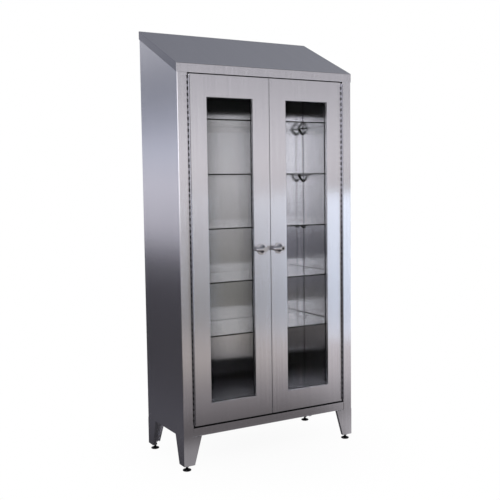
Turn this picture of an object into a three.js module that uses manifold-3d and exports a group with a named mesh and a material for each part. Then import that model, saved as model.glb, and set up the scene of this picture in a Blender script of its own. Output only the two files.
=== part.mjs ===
// Two-door glass-fronted medical cabinet in folded stainless sheet, on four tapered legs.
// Millimetres, +Z up, front faces -Y, origin on the floor under the middle of the whole outline.

import * as THREE from 'three';
import { mergeVertices } from 'three/addons/utils/BufferGeometryUtils.js';
import Module from 'manifold-3d';

// Overall sizes
const WIDTH = 914;
const DEPTH = 406;
const FRONT_HEIGHT = 1780;
const BACK_HEIGHT = 1976;
const BODY_BOTTOM = 152;

// Sheet metal
const SHEET = 1.2;
const BEND = 2;
const FIT = 0.3;
const ROUND_STEPS = 2;

// Flats that stand for each round form
const HOLE_SIDES = 12;
const BORE_SIDES = 4;
const PIN_SIDES = 8;
const ROD_SIDES = 10;
const HUB_SIDES = 16;
const GRIP_SIDES = 12;
const FOOT_SIDES = 14;
const FLARE_STEPS = 3;

// Front frame and casing
const STILE_WIDTH = 49;
const STILE_DEPTH = 26;
const HEADER = 39;
const SILL = 42;
const SILL_RETURN = 24;
const STOP_LIP = 12;
const CAP_FLANGE = 38;
const BACK_FLANGE = 20;
const LINER_CAVITY = 31.5;
const LINER_LAP = 4;

// Doors
const DOOR_DEPTH = 22;
const DOOR_GAP = 5;
const STOP_GAP = 3;
const SEAM = 3;
const DOOR_LIP = 14;
const HINGE_STILE = 80.5;
const MEETING_STILE = 85;
const TOP_RAIL = 95;
const BOTTOM_RAIL = 92;
const WINDOW_FLANGE = 16;
const GLAZING = 5;
const GASKET_WIDTH = 15;
const GASKET_WALL = 2.5;
const GLASS_BITE = 9;

// Continuous hinges
const KNUCKLE = 38.1;
const KNUCKLE_PAIRS = 20;
const KNUCKLE_GAP = 0.4;
const BARREL = 9;
const BARREL_SIDES = 8;
const LEAF = 1.5;
const LEAF_DEPTH = 24;
const LEAF_NOTCH = 10.2;
const PIN_PROUD = 5;
const CURL_STEP = 0.1;
const PIN = 3;
const PIN_PLAY = 0.25;
const PIN_HEAD = 6;
const PIN_HEAD_HEIGHT = 2;

// Lever handles and their latch rods
const LEVER_SETBACK = 46;
const LEVER_LENGTH = 45;
const LEVER_DIAMETER = 22;
const LEVER_TIP_DIAMETER = 17;
const LEVER_REACH = 34;
const ROSETTE_DIAMETER = 52;
const ROSETTE_HEIGHT = 4;
const NECK_DIAMETER = 24;
const SPINDLE = 10;
const SPINDLE_PLAY = 0.5;
const CRANK_DIAMETER = 30;
const CRANK_HEIGHT = 4;
const CRANK_RADIUS = 11;
const CRANK_PIN = 5;
const LATCH_ANGLE = Math.PI / 4;
const YOKE_WIDTH = 18;
const YOKE_HEIGHT = 16;
const YOKE_SHEET = 3.5;
const YOKE_PLAY = 0.6;
const ROD = 7;
const ROD_PLAY = 0.6;
const ROD_SETBACK = 1;
const ROD_TIP = 3;
const PLUG_DIAMETER = 12;
const PLUG_LENGTH = 13;
const KEYWAY_WIDTH = 1.6;
const KEYWAY_LENGTH = 8;
const KEYWAY_DEPTH = 3;

// Glass shelves on clips
const SHELVES = 5;
const SHELF_PITCH = 241.3;
const LOWEST_SHELF = 580;
const SHELF_GLASS = 6;
const SHELF_CORNER = 6;
const SHELF_SETBACK = 35;
const SHELF_SIDE_GAP = 2;
const SHELF_BACK_GAP = 2;
const SLOT_ROWS_PER_SHELF = 5;
const SLOT_ROWS_BELOW = 6;
const SLOT_ROWS_ABOVE = 4;
const SLOT_PLAY = 1.2;
const SLOT_INSET = 33;
const CLIP_WIDTH = 12;
const CLIP_REACH = 31;
const CLIP_DROP = 32;
const CLIP_SHEET = 1.6;
const CLIP_BEND = 1;
const CLIP_STANDOFF = 3;
const CLIP_HOOK = 6;

// Legs and levelling feet
const LEG_BOTTOM = 25;
const LEG_TOP_WIDTH = 88;
const LEG_FOOT_WIDTH = 52;
const LEG_SHEET = 2;
const LEG_RETURN = 15;
const LEG_PLATE = 80;
const LEG_PLATE_ARM = 30;
const FOOT_INSET = 23;
const FOOT_DIAMETER = 38;
const FOOT_RIM = 5;
const FOOT_HUB_DIAMETER = 20;
const FOOT_HUB_HEIGHT = 15;
const STEM = 10;
const STEM_PLAY = 0.4;
const STEM_LENGTH = 45;

// Places that follow from the sizes
const FRONT = -DEPTH / 2;
const BODY_HALF = WIDTH / 2 - SHEET - FIT;
const BODY_BACK = DEPTH / 2 - SHEET - FIT;
const OPENING_HALF = BODY_HALF - STILE_WIDTH;
const OPENING_TOP = FRONT_HEIGHT - HEADER;
const OPENING_BOTTOM = BODY_BOTTOM + SILL;
const STILE_BACK = FRONT + STILE_DEPTH;
const LINER_FACE = BODY_HALF - LINER_CAVITY;
const BACK_FACE = BODY_BACK - 2 * SHEET - FIT;
const FLOOR_TOP = OPENING_BOTTOM;
const STOP_FACE = FRONT + DOOR_DEPTH + STOP_GAP;
const HINGE_X = OPENING_HALF - FIT - BARREL / 2;
const DOOR_EDGE = HINGE_X - BARREL / 2 - FIT;
const DOOR_BOTTOM = OPENING_BOTTOM + DOOR_GAP;
const DOOR_TOP = OPENING_TOP - DOOR_GAP;
const DOOR_MIDDLE = (DOOR_BOTTOM + DOOR_TOP) / 2;
const HINGE_LENGTH = 2 * KNUCKLE_PAIRS * KNUCKLE;
const CRANK_BACK = SHEET + 2 * SPINDLE_PLAY + CRANK_HEIGHT;
const ROD_DEPTH = CRANK_BACK + 2 * SPINDLE_PLAY + ROD / 2;
const CRANK_SIDE = CRANK_RADIUS * Math.cos(LATCH_ANGLE);
const CRANK_DROP = CRANK_RADIUS * Math.sin(LATCH_ANGLE);
const ROD_OFFSET = (CRANK_SIDE + CRANK_RADIUS) / 2;
const SHELF_FRONT = FRONT + SHELF_SETBACK;
const SHELF_BACK = BACK_FACE - SHELF_BACK_GAP;
const SLOT_DEPTHS = { front: SHELF_FRONT + SLOT_INSET, rear: BACK_FACE - SLOT_INSET };
const SLOT_PITCH = SHELF_PITCH / SLOT_ROWS_PER_SHELF;
const CLIP_TAB = LOWEST_SHELF - FIT - CLIP_DROP;

const STAINLESS = new THREE.MeshStandardMaterial({ color: 0xb4b4bb, roughness: 0.32, metalness: 1 });
const CHROME = new THREE.MeshStandardMaterial({ color: 0xd8d8dc, roughness: 0.1, metalness: 1 });
const GLASS = new THREE.MeshStandardMaterial({
  color: 0xdfeae8, roughness: 0.03, metalness: 0, transparent: true, opacity: 0.3,
});
const RUBBER = new THREE.MeshStandardMaterial({ color: 0x1c1c1e, roughness: 0.75, metalness: 0 });
const ZINC = new THREE.MeshStandardMaterial({ color: 0x6f6f73, roughness: 0.4, metalness: 1 });

// Joining and cutting closed meshes
const wasm = await Module();
wasm.setup();

function toSolid(geometry) {
  const bare = geometry.clone();
  bare.deleteAttribute('normal');
  bare.deleteAttribute('uv');
  const merged = mergeVertices(bare);
  const vertProperties = new Float32Array(merged.attributes.position.array);
  const triVerts = new Uint32Array(merged.index.array);
  return new wasm.Manifold(new wasm.Mesh({ numProp: 3, vertProperties, triVerts }));
}

function toGeometry(solid) {
  const mesh = solid.getMesh();
  const geometry = new THREE.BufferGeometry();
  geometry.setAttribute('position', new THREE.BufferAttribute(mesh.vertProperties, 3));
  geometry.setIndex(new THREE.BufferAttribute(mesh.triVerts, 1));
  geometry.computeVertexNormals();
  return geometry;
}

function join(...geometries) {
  return toGeometry(geometries.map(toSolid).reduce((whole, piece) => whole.add(piece)));
}

function cut(geometry, ...tools) {
  return toGeometry(tools.map(toSolid).reduce((whole, tool) => whole.subtract(tool), toSolid(geometry)));
}

// Mirror a closed geometry across a plane through the origin, keeping its faces pointing out
function mirror(geometry, axis) {
  const flipped = geometry.index ? geometry.clone() : mergeVertices(geometry);
  const scale = new THREE.Vector3(1, 1, 1);
  scale[axis] = -1;
  flipped.scale(scale.x, scale.y, scale.z);
  const corners = flipped.index.array;
  for (let i = 0; i < corners.length; i += 3) {
    [corners[i], corners[i + 1]] = [corners[i + 1], corners[i]];
  }
  return flipped;
}

// Plain blocks and extrusions
function block(x0, x1, y0, y1, z0, z1) {
  const geometry = new THREE.BoxGeometry(x1 - x0, y1 - y0, z1 - z0);
  return geometry.translate((x0 + x1) / 2, (y0 + y1) / 2, (z0 + z1) / 2);
}

function extrude(shape, depth) {
  return new THREE.ExtrudeGeometry(shape, { depth, bevelEnabled: false, curveSegments: ROUND_STEPS / 2 });
}

const X = new THREE.Vector3(1, 0, 0);
const Y = new THREE.Vector3(0, 1, 0);
const Z = new THREE.Vector3(0, 0, 1);

// A profile drawn in plan and raised from one height to another
function raise(shape, z0, z1) {
  return extrude(shape, z1 - z0).translate(0, 0, z0);
}

// A profile drawn in side view, as depth and height, and run across the width
function runAcross(shape, x0, x1) {
  const acrossWidth = new THREE.Matrix4().makeBasis(Y, Z, X);
  return extrude(shape, x1 - x0).applyMatrix4(acrossWidth).translate(x0, 0, 0);
}

// A profile drawn in front view, as width and height, and run from front to back
function runBack(shape, y0, y1) {
  const toFront = new THREE.Matrix4().makeBasis(X, Z, Y.clone().negate());
  return extrude(shape, y1 - y0).applyMatrix4(toFront).translate(0, y1, 0);
}

function cylinderAlong(axis, radius, start, length, sides) {
  const geometry = new THREE.CylinderGeometry(radius, radius, length, sides);
  if (axis === 'x') geometry.rotateZ(-Math.PI / 2).translate(start + length / 2, 0, 0);
  if (axis === 'y') geometry.translate(0, start + length / 2, 0);
  if (axis === 'z') geometry.rotateX(Math.PI / 2).translate(0, 0, start + length / 2);
  return geometry;
}

// A turned piece standing along +Z, from its radius at each height
function turned(outline, sides) {
  const profile = outline.map(([radius, height]) => new THREE.Vector2(radius, height));
  return new THREE.LatheGeometry(profile, sides).rotateX(Math.PI / 2);
}

// Folded sheet: a line of outer corners, with the metal to the right of the walk and round bends
function corner(before, at, after) {
  const arriving = at.clone().sub(before).normalize();
  const leaving = after.clone().sub(at).normalize();
  const turn = Math.atan2(arriving.cross(leaving), arriving.dot(leaving));
  return { arriving, leaving, turn };
}

function offsetRight(line, distance) {
  return line.map((at, i) => {
    const { arriving, leaving } = corner(line[i - 1] ?? at.clone().sub(line[1]).add(at),
      at, line[i + 1] ?? at.clone().sub(line[i - 1]).add(at));
    const side = arriving.clone().add(leaving);
    const normal = new THREE.Vector2(side.y, -side.x).normalize();
    const square = new THREE.Vector2(arriving.y, -arriving.x);
    return at.clone().addScaledVector(normal, distance / normal.dot(square));
  });
}

function roundBends(line, radiusOf) {
  const rounded = [line[0]];
  for (let i = 1; i < line.length - 1; i += 1) {
    const { arriving, turn } = corner(line[i - 1], line[i], line[i + 1]);
    const radius = radiusOf(turn);
    const start = line[i].clone().addScaledVector(arriving, -radius * Math.tan(Math.abs(turn) / 2));
    const inward = new THREE.Vector2(-arriving.y, arriving.x).multiplyScalar(Math.sign(turn) * radius);
    const centre = start.clone().add(inward);
    for (let step = 0; step <= ROUND_STEPS; step += 1) {
      rounded.push(start.clone().rotateAround(centre, turn * step / ROUND_STEPS));
    }
  }
  rounded.push(line[line.length - 1]);
  return rounded;
}

function foldedSheet(corners, thickness, bend) {
  const face = corners.map(([a, b]) => new THREE.Vector2(a, b));
  const back = offsetRight(face, thickness);
  const outer = roundBends(face, (turn) => (turn < 0 ? bend + thickness : bend));
  const inner = roundBends(back, (turn) => (turn < 0 ? bend : bend + thickness));
  return new THREE.Shape([...outer, ...inner.reverse()]);
}

function polygon(corners) {
  return new THREE.Shape(corners.map(([a, b]) => new THREE.Vector2(a, b)));
}

function roundedRectangle(x0, x1, y0, y1, radius) {
  const shape = new THREE.Shape();
  shape.absarc(x1 - radius, y1 - radius, radius, 0, Math.PI / 2);
  shape.absarc(x0 + radius, y1 - radius, radius, Math.PI / 2, Math.PI);
  shape.absarc(x0 + radius, y0 + radius, radius, Math.PI, 1.5 * Math.PI);
  shape.absarc(x1 - radius, y0 + radius, radius, 1.5 * Math.PI, 2 * Math.PI);
  return shape;
}

// The sloping roof
const ROOF_SLOPE = (BACK_HEIGHT - FRONT_HEIGHT) / DEPTH;
const ROOF_DROP = SHEET * Math.hypot(1, ROOF_SLOPE);

function roofHeight(y) {
  return FRONT_HEIGHT + ROOF_SLOPE * (y - FRONT);
}

// Height that clears the roof sheet and the round bends along its edges
function underRoof(y) {
  return roofHeight(y) - ROOF_DROP - 2 * BEND - FIT;
}

function latchHoles(height, length) {
  const side = height > DOOR_MIDDLE ? 1 : -1;
  const hole = cylinderAlong('z', ROD / 2 + ROD_PLAY, -length / 2, length, HOLE_SIDES);
  return [-LEVER_SETBACK, LEVER_SETBACK].map((x) => hole.clone()
    .translate(x + side * ROD_OFFSET, FRONT + ROD_DEPTH, height));
}

function roofCap() {
  const rim = [
    [FRONT, OPENING_TOP],
    [FRONT, FRONT_HEIGHT],
    [DEPTH / 2, BACK_HEIGHT],
    [DEPTH / 2, BACK_HEIGHT - CAP_FLANGE],
  ];
  const hood = runAcross(foldedSheet(rim, SHEET, BEND), -WIDTH / 2, WIDTH / 2);
  const bends = roundBends(rim.map(([a, b]) => new THREE.Vector2(a, b)), () => BEND + SHEET);
  const flange = new THREE.Shape(bends);
  const flanges = [-WIDTH / 2, WIDTH / 2 - SHEET].map((x) => runAcross(flange, x, x + SHEET));
  const stop = foldedSheet([
    [STOP_FACE, OPENING_TOP - STOP_LIP],
    [STOP_FACE, OPENING_TOP],
    [FRONT + SHEET / 2, OPENING_TOP],
  ], SHEET, BEND);
  const ledge = runAcross(stop, FIT - OPENING_HALF, OPENING_HALF - FIT);
  return cut(join(hood, ...flanges, ledge), ...latchHoles(OPENING_TOP, STOP_LIP));
}

// One side of the casing, with the hollow front stile folded from the same sheet
function leftSideShell() {
  const plan = foldedSheet([
    [-LINER_FACE - SHEET - LINER_LAP, STILE_BACK],
    [-OPENING_HALF, STILE_BACK],
    [-OPENING_HALF, FRONT],
    [-BODY_HALF, FRONT],
    [-BODY_HALF, BODY_BACK],
    [BACK_FLANGE - BODY_HALF, BODY_BACK],
  ], SHEET, BEND);
  const aboveRoof = polygon([
    [2 * FRONT, underRoof(2 * FRONT)],
    [DEPTH, underRoof(DEPTH)],
    [DEPTH, 2 * BACK_HEIGHT],
    [2 * FRONT, 2 * BACK_HEIGHT],
  ]);
  const behindHeader = block(-WIDTH, 0, 2 * FRONT, FRONT + SHEET + FIT, OPENING_TOP - FIT, 2 * BACK_HEIGHT);
  return cut(raise(plan, BODY_BOTTOM, BACK_HEIGHT), runAcross(aboveRoof, -WIDTH, 0), behindHeader);
}

// Inner side wall, with a column of clip slots near the front and one near the back
function leftLiner() {
  const front = STILE_BACK + FIT;
  const back = BACK_FACE - FIT;
  const wall = polygon([
    [front, BODY_BOTTOM],
    [back, BODY_BOTTOM],
    [back, underRoof(back)],
    [front, underRoof(front)],
  ]);
  const slots = [];
  const halfWidth = CLIP_WIDTH / 2 + SLOT_PLAY;
  const rows = (SHELVES - 1) * SLOT_ROWS_PER_SHELF + SLOT_ROWS_ABOVE;
  for (const depth of Object.values(SLOT_DEPTHS)) {
    for (let row = -SLOT_ROWS_BELOW; row <= rows; row += 1) {
      const low = CLIP_TAB + row * SLOT_PITCH - SLOT_PLAY;
      const high = low + CLIP_SHEET + 2 * SLOT_PLAY;
      slots.push(block(-BODY_HALF, 0, depth - halfWidth, depth + halfWidth, low, high));
    }
  }
  return cut(runAcross(wall, -LINER_FACE - SHEET, -LINER_FACE), ...slots);
}

function backPanel() {
  const half = BODY_HALF - SHEET - BEND - FIT;
  return block(-half, half, BACK_FACE, BACK_FACE + SHEET, BODY_BOTTOM, underRoof(BACK_FACE));
}

function floorPan() {
  const half = LINER_FACE - FIT;
  const front = STOP_FACE + SHEET + FIT;
  const back = BACK_FACE - FIT;
  const outside = block(-half, half, front, back, BODY_BOTTOM, FLOOR_TOP);
  const inside = block(SHEET - half, half - SHEET, front + SHEET, back - SHEET, 0, FLOOR_TOP - SHEET);
  return cut(outside, inside);
}

function sill() {
  const section = foldedSheet([
    [FRONT + SILL_RETURN, BODY_BOTTOM],
    [FRONT, BODY_BOTTOM],
    [FRONT, OPENING_BOTTOM],
    [STOP_FACE, OPENING_BOTTOM],
    [STOP_FACE, OPENING_BOTTOM + STOP_LIP],
  ], SHEET, BEND);
  const rail = runAcross(section, FIT - OPENING_HALF, OPENING_HALF - FIT);
  return cut(rail, ...latchHoles(OPENING_BOTTOM, STOP_LIP));
}

// A leg drawn in the corner of two walls, both running from the corner along +X and +Y
function cornerLeg() {
  const top = BODY_BOTTOM - FIT;
  const face = polygon([
    [0, LEG_BOTTOM],
    [LEG_FOOT_WIDTH, LEG_BOTTOM],
    [LEG_TOP_WIDTH, top],
    [0, top],
  ]);
  const edge = polygon([
    [LEG_FOOT_WIDTH - LEG_SHEET, LEG_BOTTOM],
    [LEG_FOOT_WIDTH, LEG_BOTTOM],
    [LEG_TOP_WIDTH, top],
    [LEG_TOP_WIDTH - LEG_SHEET, top],
  ]);
  const frontWall = join(runBack(face, 0, LEG_SHEET), runBack(edge, 0, LEG_RETURN));
  const sideWall = mirror(frontWall, 'x').rotateZ(-Math.PI / 2);
  const plate = polygon([
    [0, 0],
    [LEG_PLATE, 0],
    [LEG_PLATE, LEG_PLATE_ARM],
    [LEG_PLATE_ARM, LEG_PLATE],
    [0, LEG_PLATE],
  ]);
  const sole = polygon([[0, 0], [LEG_FOOT_WIDTH, 0], [0, LEG_FOOT_WIDTH]]);
  const leg = join(
    frontWall,
    sideWall,
    raise(plate, top - LEG_SHEET, top),
    raise(sole, LEG_BOTTOM, LEG_BOTTOM + LEG_SHEET),
  );
  const hole = cylinderAlong('z', STEM / 2 + STEM_PLAY, 0, BODY_BOTTOM / 2, HOLE_SIDES);
  return cut(leg, hole.translate(FOOT_INSET, FOOT_INSET, 0));
}

function levellingFoot() {
  const top = LEG_BOTTOM - FIT;
  const hub = FOOT_HUB_DIAMETER / 2;
  const outline = [
    [0, 0],
    [FOOT_DIAMETER / 2, 0],
    [FOOT_DIAMETER / 2, FOOT_RIM],
    [hub, top - FOOT_HUB_HEIGHT],
    [hub, top],
    [STEM / 2, top],
    [STEM / 2, top + STEM_LENGTH],
    [0, top + STEM_LENGTH],
  ];
  return turned(outline, FOOT_SIDES);
}

function glassShelf() {
  const half = LINER_FACE - SHELF_SIDE_GAP;
  const plan = roundedRectangle(-half, half, SHELF_FRONT, SHELF_BACK, SHELF_CORNER);
  return raise(plan, 0, SHELF_GLASS);
}

// A spring clip on the left liner: a ledge, a brace down to the wall and a hook behind the slot
function leftShelfClip() {
  const behind = -LINER_FACE - SHEET - FIT;
  const strip = foldedSheet([
    [FIT - LINER_FACE, 0],
    [CLIP_REACH - LINER_FACE, 0],
    [CLIP_STANDOFF - LINER_FACE, -CLIP_DROP],
    [behind, -CLIP_DROP],
    [behind, -CLIP_DROP - CLIP_HOOK],
  ], CLIP_SHEET, CLIP_BEND);
  return runBack(strip, -CLIP_WIDTH / 2, CLIP_WIDTH / 2);
}

// Hinge leaf drawn about the pin, with the plate on the -X side and the knuckles along +Z
function hingeLeaf(firstKnuckle) {
  const pinAxis = new THREE.Vector2();
  const half = Math.PI / BARREL_SIDES;
  const radius = BARREL / 2;
  const outer = -radius * Math.cos(half);
  const inner = outer + LEAF;
  const firstCorner = new THREE.Vector2(outer, -radius * Math.sin(half));
  const barrel = Array.from({ length: BARREL_SIDES }, (_, side) => firstCorner.clone()
    .rotateAround(pinAxis, 2 * half * side));
  const last = barrel[BARREL_SIDES - 1];
  const beforeLast = barrel[BARREL_SIDES - 2];
  const meeting = beforeLast.clone().lerp(last, (beforeLast.x - inner) / (beforeLast.x - last.x));
  const strapEnd = (LEAF_NOTCH + LEAF_DEPTH) / 2;
  const curl = new THREE.Shape([
    ...barrel.slice(0, -1),
    meeting,
    new THREE.Vector2(inner, strapEnd),
    new THREE.Vector2(outer, strapEnd),
  ]);
  const boreHalf = Math.PI / BORE_SIDES;
  const boreCorner = new THREE.Vector2((PIN / 2 + PIN_PLAY) / Math.cos(boreHalf), 0);
  const bore = Array.from({ length: BORE_SIDES }, (_, side) => boreCorner.clone()
    .rotateAround(pinAxis, (2 * side + 1) * boreHalf));
  curl.holes.push(new THREE.Path(bore));
  const knuckle = extrude(curl, KNUCKLE - KNUCKLE_GAP);
  const plate = block(outer + CURL_STEP, inner - CURL_STEP, LEAF_NOTCH, LEAF_DEPTH, 0, HINGE_LENGTH);
  const knuckles = Array.from({ length: KNUCKLE_PAIRS }, (_, pair) => knuckle.clone()
    .translate(0, 0, (2 * pair + firstKnuckle) * KNUCKLE + KNUCKLE_GAP / 2));
  return join(plate, ...knuckles);
}

function hingePin() {
  const head = PIN_HEAD / 2;
  const outline = [
    [0, -PIN_HEAD_HEIGHT],
    [head, -PIN_HEAD_HEIGHT],
    [head, 0],
    [PIN / 2, 0],
    [PIN / 2, HINGE_LENGTH],
    [head, HINGE_LENGTH],
    [head, HINGE_LENGTH + PIN_HEAD_HEIGHT],
    [0, HINGE_LENGTH + PIN_HEAD_HEIGHT],
  ];
  return turned(outline, PIN_SIDES);
}

// Left door: a folded pan with an open back, a flanged window and holes for the latch
const WINDOW = {
  x0: -DOOR_EDGE + HINGE_STILE,
  x1: -SEAM / 2 - MEETING_STILE,
  z0: DOOR_BOTTOM + BOTTOM_RAIL,
  z1: DOOR_TOP - TOP_RAIL,
};

function windowBlock(margin, y0, y1) {
  const { x0, x1, z0, z1 } = WINDOW;
  return block(x0 - margin, x1 + margin, y0, y1, z0 - margin, z1 + margin);
}

function leftDoorPan() {
  const edge = -DOOR_EDGE;
  const seam = -SEAM / 2;
  const back = FRONT + DOOR_DEPTH;
  const inset = SHEET + DOOR_LIP;
  const skin = block(edge, seam, FRONT, back, DOOR_BOTTOM, DOOR_TOP);
  const hollow = block(edge + SHEET, seam - SHEET, FRONT + SHEET, back - SHEET,
    DOOR_BOTTOM + SHEET, DOOR_TOP - SHEET);
  const openBack = block(edge + inset, seam - inset, FRONT + DOOR_DEPTH / 2, back + SHEET,
    DOOR_BOTTOM + inset, DOOR_TOP - inset);
  const frame = join(cut(skin, hollow, openBack), windowBlock(SHEET, FRONT, FRONT + WINDOW_FLANGE));
  return cut(frame, windowBlock(0, FRONT - SHEET, FRONT + WINDOW_FLANGE + SHEET));
}

function doorPan(side) {
  const pan = side === 'left' ? leftDoorPan() : mirror(leftDoorPan(), 'x');
  const lever = side === 'left' ? -LEVER_SETBACK : LEVER_SETBACK;
  const spindleHole = cylinderAlong('y', SPINDLE / 2 + SPINDLE_PLAY, -2 * SHEET, 4 * SHEET, HUB_SIDES);
  const rodHole = (way) => cylinderAlong('z', ROD / 2 + ROD_PLAY, -2 * SHEET, 4 * SHEET, HOLE_SIDES)
    .translate(lever + way * ROD_OFFSET, FRONT + ROD_DEPTH, way > 0 ? DOOR_TOP : DOOR_BOTTOM);
  return cut(pan, spindleHole.translate(lever, FRONT, DOOR_MIDDLE), rodHole(1), rodHole(-1));
}

// Rubber channel behind the window flange, with a groove that grips the pane
const GASKET_FRONT = FRONT + WINDOW_FLANGE + FIT;
const GASKET_BACK = GASKET_FRONT + 2 * GASKET_WALL + GLAZING + 2 * FIT;

function leftGasket() {
  const groove = windowBlock(GLASS_BITE + FIT, GASKET_FRONT + GASKET_WALL, GASKET_BACK - GASKET_WALL);
  const opening = windowBlock(0, GASKET_FRONT - GASKET_WALL, GASKET_BACK + GASKET_WALL);
  return cut(windowBlock(GASKET_WIDTH, GASKET_FRONT, GASKET_BACK), groove, opening);
}

function leftPane() {
  const front = GASKET_FRONT + GASKET_WALL + FIT;
  return windowBlock(GLASS_BITE, front, front + GLAZING);
}

// Lever handle about its spindle, with the crank and its two pins inside the door
function leverHandle(locking) {
  const rosette = ROSETTE_DIAMETER / 2;
  const neck = NECK_DIAMETER / 2;
  const flare = new THREE.QuadraticBezierCurve(
    new THREE.Vector2(rosette, -FIT - ROSETTE_HEIGHT),
    new THREE.Vector2(neck, -FIT - ROSETTE_HEIGHT),
    new THREE.Vector2(neck, -LEVER_REACH / 2),
  );
  const outline = [
    new THREE.Vector2(0, CRANK_BACK),
    new THREE.Vector2(CRANK_DIAMETER / 2, CRANK_BACK),
    new THREE.Vector2(CRANK_DIAMETER / 2, CRANK_BACK - CRANK_HEIGHT),
    new THREE.Vector2(SPINDLE / 2, CRANK_BACK - CRANK_HEIGHT),
    new THREE.Vector2(SPINDLE / 2, -FIT),
    new THREE.Vector2(rosette, -FIT),
    ...flare.getPoints(FLARE_STEPS),
    new THREE.Vector2(neck, -LEVER_REACH),
    new THREE.Vector2(0, -LEVER_REACH),
  ];
  const hub = new THREE.LatheGeometry(outline.reverse(), HUB_SIDES);
  const root = LEVER_DIAMETER / 2;
  const tip = LEVER_TIP_DIAMETER / 2;
  const grip = new THREE.LatheGeometry([
    new THREE.Vector2(0, 0),
    new THREE.Vector2(root, 0),
    new THREE.Vector2(tip, LEVER_LENGTH - tip),
    new THREE.Vector2(tip * Math.SQRT1_2, LEVER_LENGTH - tip * (1 - Math.SQRT1_2)),
    new THREE.Vector2(0, LEVER_LENGTH),
  ], GRIP_SIDES).rotateZ(Math.PI / 2).translate(0, root - LEVER_REACH, 0);
  const pin = cylinderAlong('y', CRANK_PIN / 2, CRANK_BACK - CRANK_HEIGHT / 2, ROD, PIN_SIDES);
  const upperPin = pin.clone().translate(CRANK_SIDE, 0, -CRANK_DROP);
  const lowerPin = pin.clone().translate(-CRANK_SIDE, 0, CRANK_DROP);
  const handle = join(hub, grip, upperPin, lowerPin);
  if (!locking) return handle;
  const barrel = cylinderAlong('y', PLUG_DIAMETER / 2 + FIT, -2 * LEVER_REACH,
    LEVER_REACH + PLUG_LENGTH + FIT, HUB_SIDES);
  return cut(handle, barrel);
}

function lockPlug() {
  const plug = cylinderAlong('y', PLUG_DIAMETER / 2, -LEVER_REACH, PLUG_LENGTH, HUB_SIDES);
  const half = KEYWAY_WIDTH / 2;
  const keyway = block(-half, half, -2 * LEVER_REACH, KEYWAY_DEPTH - LEVER_REACH,
    -KEYWAY_LENGTH / 2, KEYWAY_LENGTH / 2);
  return cut(plug, keyway);
}

// Upper latch rod about the spindle: a slotted yoke over the crank pin and a rod to the door's top
function upperRod() {
  const low = -CRANK_DROP - YOKE_HEIGHT / 2;
  const slotHalf = (CRANK_RADIUS - CRANK_SIDE) / 2 + CRANK_PIN / 2 + YOKE_PLAY;
  const slotRise = CRANK_PIN / 2 + YOKE_PLAY;
  const yoke = cut(
    block(-YOKE_WIDTH / 2, YOKE_WIDTH / 2, -YOKE_SHEET / 2, YOKE_SHEET / 2, low, low + YOKE_HEIGHT),
    block(-slotHalf, slotHalf, -YOKE_SHEET, YOKE_SHEET, -CRANK_DROP - slotRise, slotRise - CRANK_DROP),
  );
  const foot = low + YOKE_HEIGHT - YOKE_SHEET;
  const end = DOOR_TOP - DOOR_MIDDLE - ROD_SETBACK;
  const bar = turned([
    [0, foot],
    [ROD / 2, foot],
    [ROD / 2, end - ROD_TIP],
    [ROD / 2 - ROD_TIP / 2, end],
    [0, end],
  ], ROD_SIDES);
  return join(yoke, bar).translate(ROD_OFFSET, ROD_DEPTH, 0);
}

// The whole cabinet
const cabinet = new THREE.Group();

function add(name, geometry, material, parent = cabinet) {
  const mesh = new THREE.Mesh(geometry, material);
  mesh.name = name;
  parent.add(mesh);
  return mesh;
}

const SIDES = ['left', 'right'];

function onSide(side, leftGeometry) {
  return side === 'left' ? leftGeometry : mirror(leftGeometry, 'x');
}

add('roof_cap', roofCap(), STAINLESS);
add('back_panel', backPanel(), STAINLESS);
add('floor_pan', floorPan(), STAINLESS);
add('sill', sill(), STAINLESS);
for (const side of SIDES) {
  add(`${side}_side_shell`, onSide(side, leftSideShell()), STAINLESS);
  add(`${side}_liner`, onSide(side, leftLiner()), STAINLESS);
}

// Legs and feet, one pair on each side
for (const side of SIDES) {
  for (const end of ['front', 'rear']) {
    const x = side === 'left' ? -BODY_HALF : BODY_HALF;
    const y = end === 'front' ? FRONT : BODY_BACK;
    const leg = onSide(side, cornerLeg());
    const placed = end === 'front' ? leg : mirror(leg, 'y');
    add(`${end}_${side}_leg`, placed, STAINLESS).position.set(x, y, 0);
    const inward = new THREE.Vector2(-Math.sign(x), -Math.sign(y)).multiplyScalar(FOOT_INSET);
    add(`${end}_${side}_foot`, levellingFoot(), ZINC).position.set(x + inward.x, y + inward.y, 0);
  }
}

// Shelves, counted from the top, each on four clips
for (let shelf = 1; shelf <= SHELVES; shelf += 1) {
  const height = LOWEST_SHELF + (SHELVES - shelf) * SHELF_PITCH;
  add(`glass_shelf_${shelf}`, glassShelf(), GLASS).position.z = height;
  for (const side of SIDES) {
    for (const [end, depth] of Object.entries(SLOT_DEPTHS)) {
      const clip = add(`shelf_clip_${shelf}_${end}_${side}`, onSide(side, leftShelfClip()), ZINC);
      clip.position.set(0, depth, height - FIT);
    }
  }
}

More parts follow.
